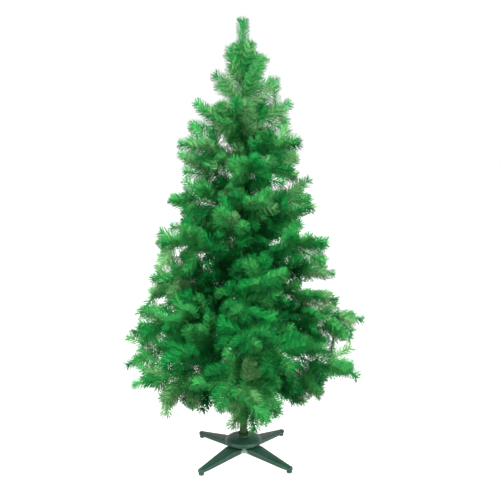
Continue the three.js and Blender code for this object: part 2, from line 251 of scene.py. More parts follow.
branches = layBranches()
stationCount = 14
stationShares = (np.arange(stationCount) + 1) / stationCount
stations = [each["at"](stationShares) for each in branches]
stations.append(np.multiply.outer(pole["top"] + (leader["top"] - pole["top"]) * stationShares, up))
stations = np.array(stations)


# A branch's own space is all that lies nearer to its stem than to any other stem
def inOwnSpace(own, point, room):
    away = np.linalg.norm(stations - point, axis=2).min(axis=1)
    return bool(np.all(np.delete(away, own) > away[own] + room))


# A side twig's line: it leaves the stem at an angle, then bends along it and up
def twigLine(root, along, roll, spread, length):
    side = unit(np.cross(along, up))
    over = np.cross(side, along)
    start = (along * math.cos(spread) + side * (math.sin(spread) * math.cos(roll))
             + over * (math.sin(spread) * math.sin(roll)))
    turned = unit(start + along * branch["bend"] + up * branch["curl"])

    def at(t):
        t = np.asarray(t, float)
        return (root + np.multiply.outer(length * t * (1 - t / 2), start)
                + np.multiply.outer(length * t * t / 2, turned))

    return at


# Tries several rolls and takes the first twig that stays in the branch's own space
def fitTwig(own, root, along, leftward, rolls, spread, length, room):
    for roll in rolls:
        line = twigLine(root, along, math.pi - roll if leftward else roll, spread, length)
        if line(1)[2] > branch["low"] and all(inOwnSpace(own, line(end), room) for end in branch["clearAt"]):
            return line


# Rolls to try, above and below the branch in turn
def rollsOf(draw, tier, below=0):
    sag, lift = math.radians(tier["sag"]), math.radians(branch["lift"])
    for attempt in range(branch["tries"]):
        yield draw(-sag, 0) if (attempt + below) % 2 else draw(0, lift)


# Share of the way up the tiers: needles get shorter to the top
def highOf(level):
    return level / (len(tiers) - 1)


def layStem(each, own):
    tier, at, draw, reach = each["tier"], each["at"], each["draw"], each["reach"]
    low, high = branch["twigLengthLow"], branch["twigLengthHigh"]
    usual = low + (high - low) * each["level"] / (len(tiers) - 1)
    inner, last = branch["innerLength"], reach - branch["endBrush"]
    count = max(branch["fewestTwigs"], int((last - inner) / branch["twigSpacing"] + 0.5))
    rings = [(inner + (last - inner) * k / count) / reach for k in range(count + 1)]
    more, pales = numbers(finer["streams"]["twigs"] + own), numbers(finer["streams"]["tints"] + own)
    isTop = each["level"] >= finer["topFrom"]
    isLow = tier["sag"] >= branch["hangFrom"]
    twigs = []

    def keep(line, t, length):
        # pale top brushes and edge brushes at the crown's sides get paler tints as painted light, low ones
        # as painted light from the floor below, inner ones darker tints as painted shade
        isPaintedLitTop = pales() < (each["level"] - paintedLightKinds["paleFrom"]) / (paintedLightKinds["paleTo"] - paintedLightKinds["paleFrom"])
        isPaintedLitEdge = abs(line(1)[0]) > paintedLightKinds["edgeFrom"] * reach
        tests = {"top": isPaintedLitTop, "edge": isPaintedLitEdge, "inner": t < paintedLightKinds["innerTo"], "low": isLow, "outer": True}
        kind = next(name for name, holds in tests.items() if holds)
        twigs.append({"at": line, "length": length, "kind": kind, "high": highOf(each["level"])})

    def grow(t, leftward, rolls, spread, length, room=finer["room"]):
        line = fitTwig(own, at(t), heading(at, t), leftward, rolls, math.radians(spread), length, room)
        if line:
            keep(line, t, length)

    for k in range(count):
        t = (rings[k] + rings[k + 1]) / 2
        leftward = (k + each["index"]) % 2
        length = usual * draw(*branch["twigJitter"])
        jitter = branch["spreadJitter"]
        spread = branch["spread"] + draw(-jitter, jitter)
        hangs = int(isLow and k > 0)
        grow(t, leftward, rollsOf(draw, tier, hangs), spread, length, branch["room"])
        length = usual * more(*finer["opposite"])
        rolls = [math.radians(more(-tier["sag"], finer["oppositeLift"])) for _ in range(finer["tries"])]
        grow(t + finer["oppositeAt"], not leftward, rolls, more(*finer["oppositeSpread"]), length)
    for _ in range(finer["topFill"] if isTop else finer["fillCount"]):
        t = more(*finer["fillAt"])
        rolls = [more(0, 2 * math.pi) for _ in range(finer["tries"])]
        grow(t, 0, rolls, more(*finer["fillSpread"]), usual * more(*finer["fill"]))
    if isLow:
        for side in range(finer["dropCount"]):
            t = more(*finer["dropAt"])
            longest = max(finer["dropShortest"], at(t)[2] - finer["dropLow"])
            length = min(usual * more(*finer["drop"]), longest)
            rolls = [math.radians(more(*finer["dropRoll"])) for _ in range(finer["fewTries"])]
            grow(t, side % 2, rolls, more(*finer["dropSpread"]), length)
    for leftward in (0, 1):
        t = (poleRadius(tier["height"]) + more(*finer["baseAt"])) / reach
        length = usual * more(*finer["base"])
        jitter = finer["baseJitter"]
        grow(t, leftward, rollsOf(more, tier), finer["baseSpread"] + more(-jitter, jitter), length)
        length = branch["endBrush"] * more(*finer["flank"])
        flat = [math.radians(more(*finer["flankRoll"])) for _ in range(finer["fewTries"])]
        jitter = finer["flankJitter"]
        grow(rings[-1], leftward, flat, finer["flankSpread"] + more(-jitter, jitter), length)
    for _, t, leftward, roll, spread, length in (row for row in edgeTwigs if row[0] == own):
        roll = math.pi - math.radians(roll) if leftward else math.radians(roll)
        keep(twigLine(at(t), heading(at, t), roll, math.radians(spread), length), t, length)
    return twigs


def risingLine(height, out, tilt, length):
    start = out * math.sin(tilt) + up * math.cos(tilt)

    def at(t):
        t = np.asarray(t, float)
        return (up * height + np.multiply.outer(length * t * (1 - t * leader["slow"]), start)
                + np.multiply.outer(length * t * t * leader["curl"], up))

    return at


# Directions round the leader's rod start from -X, as in the part's source
def aroundLeader(turn):
    return np.array([-math.cos(turn), -math.sin(turn), 0])


def layLeader():
    twigs = []

    # turn in radians, tilt in degrees
    def addTwig(height, turn, tilt, length):
        line = risingLine(height, aroundLeader(turn), math.radians(tilt), length)
        twigs.append({"at": line, "length": length, "kind": "top", "high": 1})

    swing, rock = leader["turnJitter"], leader["tiltJitter"]
    for level, (height, usual, lean) in enumerate(leader["whorls"]):
        draw = numbers(len(branches) + level)
        more = numbers(finer["streams"]["leader"] + level)
        for i in range(leader["perWhorl"]):
            turn = (2 * i + level + 1) * math.pi / 3 + math.radians(draw(-swing, swing))
            tilt = lean + draw(-rock, rock)
            addTwig(height, turn, tilt, usual * draw(*leader["lengthJitter"]))
            turn += math.pi / 3 + math.radians(more(-swing, swing))
            tilt = lean + more(*finer["leaderTilt"])
            length = usual * finer["leaderShare"] * more(*finer["leaderJitter"])
            addTwig(height + finer["leaderAbove"], turn, tilt, length)
    for height, turn, tilt, length in edgeWhorl:
        addTwig(height, math.radians(turn), tilt, length)
    return twigs


twigs = []
stems = []
for own, each in enumerate(branches):
    twigs += layStem(each, own)
    start = (poleRadius(each["tier"]["height"]) + gap) / each["reach"]
    stems.append({"at": each["at"], "length": each["reach"], "from": start, "kind": "stem",
                  "high": highOf(each["level"])})
twigs += layLeader()
rodFrom = pole["top"] + gap
rodLength = leader["top"] - rodFrom
stems.append({
    "at": lambda t: np.multiply.outer(rodFrom + rodLength * np.asarray(t, float), up),
    "length": rodLength, "from": 0, "kind": "leader", "high": 1,
})
print("laid", len(stems), "stems and", len(twigs), "twigs,",
      round(sum(limb["length"] for limb in stems + twigs), 1), "m")


# Meshes from arrays; normals, one for each point, are given where a piece has its own
def meshPiece(name, points, triangles, material, normals=None):
    mesh = bpy.data.meshes.new(name)
    mesh.vertices.add(len(points))
    mesh.vertices.foreach_set("co", np.ascontiguousarray(points, np.float32).ravel())
    mesh.loops.add(3 * len(triangles))
    mesh.loops.foreach_set("vertex_index", np.ascontiguousarray(triangles, np.int32).ravel())
    mesh.polygons.add(len(triangles))
    mesh.polygons.foreach_set("loop_start", np.arange(0, 3 * len(triangles), 3, dtype=np.int32))
    mesh.update(calc_edges=True)
    mesh.validate()
    mesh.materials.append(material)
    if normals is not None:
        mesh.normals_split_custom_set_from_vertices(normals)
    piece = bpy.data.objects.new(name, mesh)
    scene.collection.objects.link(piece)
    return piece


# Two directions across a heading, the first one level
def across(along):
    steep = np.hypot(along[..., 0], along[..., 1]) <= 0.05
    level = np.where(steep[..., None], np.array([0.0, 1.0, 0.0]), up)
    first = unit(np.cross(along, level))
    return first, np.cross(along, first)


# Places on a line, and the length of it up to each
def runsOf(at, start=0.0, count=33):
    shares = np.linspace(start, 1, count)
    steps = np.linalg.norm(np.diff(at(shares), axis=0), axis=1)
    return shares, np.concatenate([[0], np.cumsum(steps)])


# Materials

def newMaterial(name):
    material = bpy.data.materials.new(name)
    material.use_nodes = True
    tree = material.node_tree
    return material, tree, tree.nodes["Principled BSDF"]


def addNode(tree, kind, **settings):
    node = tree.nodes.new(kind)
    for key, value in settings.items():
        if key in node.inputs:
            node.inputs[key].default_value = value
        else:
            setattr(node, key, value)
    return node


def noiseOf(tree, scale, detail=4, roughness=0.5):
    place = addNode(tree, "ShaderNodeTexCoord")
    pattern = addNode(tree, "ShaderNodeTexNoise", Scale=scale, Detail=detail, Roughness=roughness)
    tree.links.new(place.outputs["Object"], pattern.inputs["Vector"])
    return pattern


def rangeOf(tree, source, low, high, socket):
    limits = {"From Min": 0.3, "From Max": 0.7, "To Min": low, "To Max": high}
    spread = addNode(tree, "ShaderNodeMapRange", **limits)
    tree.links.new(source, spread.inputs["Value"])
    tree.links.new(spread.outputs["Result"], socket)


def rampOf(tree, source, stops, socket):
    ramp = tree.nodes.new("ShaderNodeValToRGB")
    elements = ramp.color_ramp.elements
    while len(elements) < len(stops):
        elements.new(0.5)
    for element, (place, colour) in zip(elements, stops):
        element.position = place
        element.color = (*colour, 1)
    tree.links.new(source, ramp.inputs["Fac"])
    tree.links.new(ramp.outputs["Color"], socket)


def bumpOf(tree, source, strength, distance, shader):
    bump = addNode(tree, "ShaderNodeBump", Strength=strength, Distance=distance)
    tree.links.new(source, bump.inputs["Height"])
    tree.links.new(bump.outputs["Normal"], shader.inputs["Normal"])


def needleFinish(name, colour):
    material, tree, shader = newMaterial(name)
    shader.inputs["Base Color"].default_value = (*colour, 1)
    shader.inputs["Specular IOR Level"].default_value = 0.08
    mottle = noiseOf(tree, 60, detail=2)
    rangeOf(tree, mottle.outputs["Fac"], 0.5, 0.75, shader.inputs["Roughness"])
    return material


# Needles

brush = {
    "needle": 0.043,  # length of a needle of the film
    "stemNeedle": 0.040,
    "shorter": 0.05,  # how much shorter they are at the top
    "lengthJitter": (0.9, 1.04),
    "width": {"stem": 0.0019, "inner": 0.0030, "outer": 0.0017, "edge": 0.0016, "low": 0.0016,
              "top": 0.0014, "leader": 0.0014},
    "tipShare": 0.8,  # of the width, at a needle's tip
    # needles on a metre of wire, by the kind of limb
    "density": {"stem": 1400, "inner": 700, "outer": 2050, "edge": 1900, "low": 1900,
                "top": 1700, "leader": 2900},
    "endLength": 0.060,  # the last stretch of wire, which carries more needles
    "endMore": 0.45,
    "lean": (46, 50),  # degrees from the wire, at the places leanAt before its end
    "leanAt": (0.020, 0.200),
    "leanJitter": 4,
    "pitch": 0.025,  # length in which the two strands turn once round the wire
    "strandJitter": 11,
    # short ones on a metre that hide the wire
    "heart": {"stem": 450, "inner": 100, "outer": 250, "edge": 250, "low": 250, "top": 250,
              "leader": 450},
    "heartWidth": 0.0017,
    "heartLength": (0.010, 0.019),
    "heartLean": (45, 95),
    "tuft": 22,  # needles that close a brush's end
    "tuftLean": 60,
    "bud": 8,  # short needles that fill the middle of a brush's end
    "budLength": (0.012, 0.022),
    "budLean": (10, 75),
    "wireStart": 0.006,
    "wireEnd": 0.021,  # the wire ends this far inside the brush's end
    "endScatter": 0.003,
    # a needle's normals point out from the wire, so that a brush is lit as one round form
    "softOut": 0.8,
    "softAim": 0.35,
    "softJitter": 0.30,
    "offPole": 0.002,  # needle tips stay this far from the pole
    # needles on the pole itself
    "poleFrom": 0.33,
    "poleEnd": 0.01,  # how far below the pole's top they end
    "poleSink": 0.001,
    "poleNeedle": (0.016, 0.027),
    "poleWidth": 0.0018,
    "poleDensity": 6500,
    "poleRise": (-0.3, 1.3),
    "poleSwing": (-0.7, 0.7),
}

tints = {
    "deep": (0.0004, 0.085, 0.014),
    "pine": (0.0008, 0.125, 0.020),
    "leaf": (0.0030, 0.178, 0.030),
    "fresh": (0.0400, 0.228, 0.052),
    "pale": (0.1350, 0.270, 0.108),
}
# how often a kind of limb has each of them; the paler shares of edge, low and top brushes are painted light,
# the darker shares of inner ones painted shade
dealt = {
    "stem": [0.04, 0.30, 0.50, 0.16, 0.00],
    "outer": [0.03, 0.27, 0.54, 0.16, 0.00],
    "edge": [0.00, 0.06, 0.24, 0.50, 0.20],
    "low": [0.00, 0.00, 0.20, 0.58, 0.22],
    "inner": [0.22, 0.40, 0.34, 0.04, 0.00],
    "top": [0.18, 0.26, 0.06, 0.28, 0.22],
    "leader": [0.90, 0.10, 0.00, 0.00, 0.00],
    "pole": [0.20, 0.44, 0.36, 0.00, 0.00],
}
# steps between the tints of a brush's two strands
contrast = {"top": 2}
needlesPerPiece = 48000
rng = np.random.default_rng(treeSeed)


# Each blade is a thin wedge: two corners at its root, and two across them at its tip
def bladesOf(roots, aims, turns, length, width):
    first, second = across(aims)
    half = np.broadcast_to(np.asarray(width) / 2, len(roots))[:, None]
    wide = (first * np.cos(turns)[:, None] + second * np.sin(turns)[:, None]) * half
    thick = np.cross(aims, wide) * brush["tipShare"]
    tips = roots + aims * length[:, None]
    return np.stack([roots - wide, roots + wide, tips + thick, tips - thick], axis=1)


# The needles of one limb, and for each the strand it belongs to: 0, 1, or 2 for the lighter ones, the
# hearts, whose lighter tint is painted light inside the brush
def needlesOf(limb):
    shares, runs = runsOf(limb["at"], limb.get("from", 0))
    first, last = brush["wireStart"], runs[-1] - brush["wireEnd"]
    ends = min(brush["endLength"], last - first)
    spread = last - first + brush["endMore"] * ends
    sizes = [max(2, int(spread * brush["density"][limb["kind"]])),
             max(2, int((last - first) * brush["heart"][limb["kind"]])), brush["tuft"], brush["bud"]]
    count = sum(sizes)
    main, heart, tuft, bud = np.split(np.arange(count), np.cumsum(sizes)[:-1])
    run = last - brush["endScatter"] * rng.random(count)
    place = spread * (np.arange(len(main)) + rng.random(len(main))) / len(main)
    run[main] = np.interp(place, [0, last - first - ends, spread], [first, last - ends, last])
    run[heart] = rng.uniform(first, last, len(heart))
    t = np.interp(run, runs, shares)
    middle = limb["at"](t)
    along = heading(limb["at"], t)
    level, over = across(along)
    strand = np.arange(count) % 2
    strand[heart] = 2
    angle = rng.uniform(0, 2 * np.pi, count)
    angle[main] = (2 * np.pi * run[main] / brush["pitch"] + np.pi * strand[main]
                   + np.radians(rng.normal(0, brush["strandJitter"], len(main))))
    outward = level * np.cos(angle)[:, None] + over * np.sin(angle)[:, None]
    lean = np.interp(last - run, brush["leanAt"], brush["lean"]) + rng.normal(0, brush["leanJitter"], count)
    lean[heart] = rng.uniform(*brush["heartLean"], len(heart))
    lean[tuft] = brush["tuftLean"] * np.sqrt(rng.random(len(tuft)))
    lean[bud] = rng.uniform(*brush["budLean"], len(bud))
    lean = np.radians(lean)
    aim = along * np.cos(lean)[:, None] + outward * np.sin(lean)[:, None]
    usual = brush["stemNeedle"] if limb["kind"] in ("stem", "leader") else brush["needle"]
    usual *= 1 - brush["shorter"] * limb["high"]
    # the tips lie on a cylinder that ends in a half ball round the wire's end
    before, ball = last - run, usual * math.sin(math.radians(brush["lean"][0]))
    toBall = before * np.cos(lean) + np.sqrt(np.maximum(0, ball**2 - (before * np.sin(lean))**2))
    reach = np.where(before > usual * np.cos(lean), usual, np.minimum(usual, toBall))
    reach *= rng.uniform(*brush["lengthJitter"], count)
    reach[heart] = rng.uniform(*brush["heartLength"], len(heart))
    reach[bud] = rng.uniform(*brush["budLength"], len(bud))
    width = np.full(count, brush["width"][limb["kind"]])
    width[heart] = brush["heartWidth"]
    corners = bladesOf(middle, aim, rng.uniform(0, np.pi, count), reach, width)
    tip = corners[:, 2]
    poleRoom = np.array([poleRadius(z) + brush["offPole"] if z < pole["top"] else 0 for z in tip[:, 2]])
    clear = np.hypot(tip[:, 0], tip[:, 1]) > poleRoom
    soft = unit(outward * brush["softOut"] + aim * brush["softAim"]
                + rng.normal(0, brush["softJitter"], (count, 3)))
    both = np.concatenate([corners, soft[:, None]], axis=1)
    return both[clear], strand[clear]


# Places round the pole at the given heights, and the directions out of it there
def aroundPole(height, sink):
    angle = rng.uniform(0, 2 * np.pi, len(height))
    outward = np.stack([np.cos(angle), np.sin(angle), np.zeros(len(height))], axis=1)
    radius = np.array([poleRadius(z) for z in height]) - sink
    return outward * radius[:, None] + height[:, None] * up, outward


# Needles that stand on the pole between the branches
def poleNeedles(count):
    height = rng.uniform(brush["poleFrom"], pole["top"] - brush["poleEnd"], count)
    roots, outward = aroundPole(height, brush["poleSink"])
    aims = unit(outward + up * rng.uniform(*brush["poleRise"], count)[:, None]
                + np.cross(up, outward) * rng.uniform(*brush["poleSwing"], count)[:, None])
    lengths = rng.uniform(*brush["poleNeedle"], count)
    corners = bladesOf(roots, aims, rng.uniform(0, np.pi, count), lengths, brush["poleWidth"])
    soft = unit(outward + rng.normal(0, brush["softJitter"], (count, 3)))
    return np.concatenate([corners, soft[:, None]], axis=1)


needleFaces = np.array([[0, 2, 1], [0, 1, 3], [0, 3, 2], [1, 2, 3]])
foliageNodes = sorted(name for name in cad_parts
                      if name.startswith("branch_") or name == "leader")


def bladePiece(name, corners, material, normals=None):
    triangles = (4 * np.arange(len(corners)))[:, None, None] + needleFaces
    return meshPiece(name, corners.reshape(-1, 3), triangles.reshape(-1, 3), material, normals)


def growNeedles():
    heaps = {name: [] for name in tints}
    names = list(tints)
    for limb in stems + twigs:
        corners, strand = needlesOf(limb)
        shares = dealt[limb["kind"]]
        pick = rng.choice(len(names), p=shares)
        step = contrast.get(limb["kind"], 1)
        beside = rng.choice([k for k in (pick - step, pick + step)
                             if 0 <= k < len(names) and shares[k] > 0])
        lightest = max(k for k in range(len(names)) if shares[k] > 0)
        # the hearts, strand 2, take a tint one step lighter: painted light in the shaded core of the brush
        for part, tint in enumerate((pick, beside, min(lightest, max(pick, beside) + 1))):
            heaps[names[tint]].append(corners[strand == part])
    onPole = poleNeedles(int(brush["poleDensity"] * (pole["top"] - brush["poleFrom"])))
    owner = rng.choice(len(names), len(onPole), p=dealt["pole"])
    for k, name in enumerate(names):
        heaps[name].append(onPole[owner == k])
    pieces = []
    for name, colour in tints.items():
        material = needleFinish(f"needles {name}", colour)
        corners = np.concatenate(heaps[name])
        for part, some in enumerate(np.array_split(corners, -(-len(corners) // needlesPerPiece))):
            normals = np.repeat(some[:, 4], 4, axis=0)
            pieces.append(bladePiece(f"needles_{name}_{part + 1}", some[:, :4], material, normals))
            print("needles", name, part + 1, len(some))
    return pieces


for piece in growNeedles():
    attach(piece, "root")
    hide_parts(*foliageNodes)

# Wires of the stems and twigs

wire = {
    # radius at the root and at the end, and the number of rings
    "stem": (0.0018, 0.0010, 15),
    "twig": (0.0009, 0.00072, 7),
    "sides": 3,
}
# a light yellow green, partly the wire's own tone and partly painted light against the shade inside a brush
wireColours = {"dark": (0.015, 0.095, 0.014), "light": (0.070, 0.170, 0.030)}


def tube(points, radii, sides):
    along = unit(np.gradient(points, axis=0))
    first, second = across(along)
    angles = 2 * np.pi * np.arange(sides) / sides
    ring = first[:, None] * np.cos(angles)[None, :, None] + second[:, None] * np.sin(angles)[None, :, None]
    shell = points[:, None] + ring * np.asarray(radii)[:, None, None]
    corner = np.arange(len(points) * sides).reshape(len(points), sides)
    near, after = corner[:-1], np.roll(corner, -1, axis=1)[:-1]
    far, farAfter = corner[1:], np.roll(corner, -1, axis=1)[1:]
    walls = np.concatenate([
        np.stack([near, after, farAfter], axis=-1).reshape(-1, 3),
        np.stack([near, farAfter, far], axis=-1).reshape(-1, 3),
    ])
    spin = np.arange(1, sides - 1)
    butt = np.stack([np.zeros_like(spin), spin + 1, spin], axis=-1)
    end = corner[-1, 0] + np.stack([np.zeros_like(spin), spin, spin + 1], axis=-1)
    return shell.reshape(-1, 3), np.concatenate([walls, butt, end])


def growWires():
    points, triangles, start = [], [], 0
    for limb in stems + twigs:
        thick, thin, rings = wire["stem"] if "from" in limb else wire["twig"]
        shares, runs = runsOf(limb["at"], limb.get("from", 0))
        last = np.interp(runs[-1] - brush["wireEnd"], runs, shares)
        line = limb["at"](np.linspace(shares[0], last, rings))
        shell, faces = tube(line, np.linspace(thick, thin, rings), wire["sides"])
        points.append(shell)
        triangles.append(faces + start)
        start += len(shell)
    material, tree, shader = newMaterial("wrapped wire")
    mottle = noiseOf(tree, 220)
    rampOf(tree, mottle.outputs["Fac"], [(0.35, wireColours["dark"]), (0.65, wireColours["light"])],
           shader.inputs["Base Color"])
    shader.inputs["Roughness"].default_value = 0.6
    piece = meshPiece("wires", np.concatenate(points), np.concatenate(triangles), material)
    print("wires", len(piece.data.polygons), "faces")
    return piece


wires = growWires()
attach(wires, "root")
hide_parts(*foliageNodes)


# Turned pieces: a disc is extruded and resized, step by step, along its profile

def selectOnly(piece):
    bpy.ops.object.select_all(action="DESELECT")
    piece.select_set(True)
    bpy.context.view_layer.objects.active = piece


def faceOut():
    bpy.ops.mesh.select_all(action="SELECT")
    bpy.ops.mesh.normals_make_consistent(inside=False)
    bpy.ops.object.mode_set(mode="OBJECT")


def turnPiece(name, profile, sides, centre=(0, 0)):
    radius, height = profile[0]
    bpy.ops.mesh.primitive_circle_add(vertices=sides, radius=radius, fill_type="NGON",
                                      location=(*centre, height))
    piece = bpy.context.object
    piece.name = name
    bpy.ops.object.transform_apply()
    bpy.ops.object.mode_set(mode="EDIT")
    bpy.ops.mesh.select_mode(type="FACE")
    bpy.ops.mesh.select_all(action="SELECT")
    for nextRadius, nextHeight in profile[1:]:
        bpy.ops.mesh.extrude_region_move(TRANSFORM_OT_translate={"value": (0, 0, nextHeight - height)})
        share = nextRadius / radius
        bpy.ops.transform.resize(value=(share, share, 1), center_override=(*centre, nextHeight))
        radius, height = nextRadius, nextHeight
    faceOut()
    return piece


def soften(piece, width, segments=3, angle=30):
    selectOnly(piece)
    bevel = piece.modifiers.new("edges", "BEVEL")
    bevel.width = width
    bevel.segments = segments
    bevel.limit_method = "ANGLE"
    bevel.angle_limit = math.radians(angle)
    bpy.ops.object.modifier_apply(modifier=bevel.name)
    bpy.ops.object.shade_smooth_by_angle(angle=math.radians(angle))


# The stand's finish: dark green moulded plastic with a satin face

standColours = {"dark": (0.0050, 0.0235, 0.0135), "light": (0.0090, 0.0370, 0.0220)}


def standFinish():
    material, tree, shader = newMaterial("stand plastic")
    cloud = noiseOf(tree, 14, detail=3)
    rampOf(tree, cloud.outputs["Fac"], [(0.3, standColours["dark"]), (0.7, standColours["light"])],
           shader.inputs["Base Color"])
    smear = noiseOf(tree, 55, detail=5, roughness=0.6)
    rangeOf(tree, smear.outputs["Fac"], 0.34, 0.50, shader.inputs["Roughness"])
    shader.inputs["Specular IOR Level"].default_value = 0.22
    grain = noiseOf(tree, 900, detail=2)
    bumpOf(tree, grain.outputs["Fac"], 0.12, 0.0003, shader)
    return material


plastic = standFinish()

# Stand hub: a shallow dome with a lip, a boss under it and a collar round the pole

hub = {
    "radius": 0.079,
    "lipLow": 0.059,
    "lipHigh": 0.065,
    "lipGroove": 0.0022,  # how far the dome springs in from the lip
    "domeTop": 0.083,
    "domeSteps": 12,
    "domeTurn": 81,  # degrees of an ellipse that the dome goes through
    "domeInset": 0.0006,
    "bossRadius": 0.034,
    "bossLow": 0.030,
    "socketFloor": 0.033,
    "collarRadius": 0.025,
    "collarFoot": 0.003,  # width of the flat ring round the collar
    "collarTop": 0.090,
    "collarRim": (0.0042, 0.0025),  # widths of the collar's bevelled rim
    "collarDrop": 0.002,  # height of that rim
    "sides": 96,
    "edge": 0.0016,
}


def hubProfile():
    bore, boss, lip = pole["sections"][0][0] + gap, hub["bossRadius"], hub["radius"]
    low, high, groove = hub["lipLow"], hub["lipHigh"], lip - hub["lipGroove"]
    profile = [(boss, hub["bossLow"]), (boss, low), (lip, low), (lip, high), (groove, high)]
    inner, outer = hub["collarRadius"] + hub["collarFoot"], groove - hub["domeInset"]
    rise = hub["domeTop"] - high
    for step in range(1, hub["domeSteps"] + 1):
        angle = math.radians(hub["domeTurn"]) * step / hub["domeSteps"]
        profile.append((inner + (outer - inner) * math.cos(angle), high + rise * math.sin(angle)))
    profile += [
        (hub["collarRadius"], hub["domeTop"]),
        (bore + hub["collarRim"][0], hub["collarTop"] - hub["collarDrop"]),
        (bore + hub["collarRim"][1], hub["collarTop"]),
        (bore, hub["collarTop"]),
        (bore, hub["socketFloor"]),
    ]
    return profile


hubPiece = turnPiece("stand_hub_moulded", hubProfile(), hub["sides"])
soften(hubPiece, hub["edge"])
hubPiece.data.materials.append(plastic)
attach(hubPiece, "root")
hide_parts("stand_hub")
print("hub", len(hubPiece.data.polygons), "faces")

# Stand legs: a tapering channel with a crowned top and a round end over a foot pad

leg = {
    "count": 4,
    "turn": 47.5,
    "inner": 0.034 + gap,
    "widest": 0.037,
    "padAt": 0.251,
    "tipHalfWidth": 0.014,
    "tipRound": 0.985,  # radius of the round end, as a share of that
    "topAtHub": 0.048,
    "topAtTip": 0.024,
    "lowAtHub": 0.031,
    "lowAtTip": 0.0135,
    "lowRun": 0.025,  # the underside is level from this far before the pad
    "crown": 0.0016,
    "edge": 0.005,
    "wall": 0.003,
    "hollow": 0.0125,  # depth of the channel
    "hollowEnd": 0.012,  # how far before the pad it ends
    "softEdge": 0.0007,
    "stations": [0.037, 0.058, 0.079, 0.122, 0.165, 0.209, 0.237, 0.251],
    "crownCuts": (-0.72, -0.48, -0.24, 0, 0.24, 0.48, 0.72),
    "padRadius": 0.0115,
    "padHeight": 0.006,
    "padEdge": 0.0012,
    "padNeck": 0.0025,  # how far the pad springs in above its foot
    "padSink": 0.002,
    "padSides": 32,
    "padSoftEdge": 0.0005,
}


def legWidth(x):
    parting = gap / math.sqrt(2)
    if x < leg["widest"]:
        return x - parting
    share = min(1, (x - leg["widest"]) / (leg["padAt"] - leg["widest"]))
    return leg["widest"] + (leg["tipHalfWidth"] - leg["widest"]) * share - parting * (1 - share)


def legTop(x):
    share = max(0, min(1, (x - hub["radius"]) / (leg["padAt"] - hub["radius"])))
    return leg["topAtHub"] + (leg["topAtTip"] - leg["topAtHub"]) * share


def legLow(x):
    share = max(0, min(1, (x - leg["widest"]) / (leg["padAt"] - leg["lowRun"] - leg["widest"])))
    return leg["lowAtHub"] + (leg["lowAtTip"] - leg["lowAtHub"]) * share


def selectWhere(piece, kind, test):
    bpy.ops.object.mode_set(mode="EDIT")
    bpy.ops.mesh.select_mode(type=kind)
    bpy.ops.mesh.select_all(action="DESELECT")
    bpy.ops.object.mode_set(mode="OBJECT")
    mesh = piece.data
    if kind == "FACE":
        for face in mesh.polygons:
            face.select = test(face)
    else:
        for edge in mesh.edges:
            ends = [mesh.vertices[k].co for k in edge.vertices]
            edge.select = test(*ends)
    bpy.ops.object.mode_set(mode="EDIT")


def isLegTop(face):
    return face.normal.z > 0.8 and face.center.z > legTop(face.center.x) - 0.004


def addPad():
    wide, edge, high, neck = leg["padRadius"], leg["padEdge"], leg["padHeight"], leg["padNeck"]
    profile = [(wide - edge, 0), (wide, edge), (wide, high), (wide - neck, high + neck),
               (wide - neck, leg["lowAtTip"] + leg["padSink"])]
    pad = turnPiece("pad", profile, leg["padSides"], centre=(leg["padAt"], 0))
    soften(pad, leg["padSoftEdge"], segments=2)
    return pad


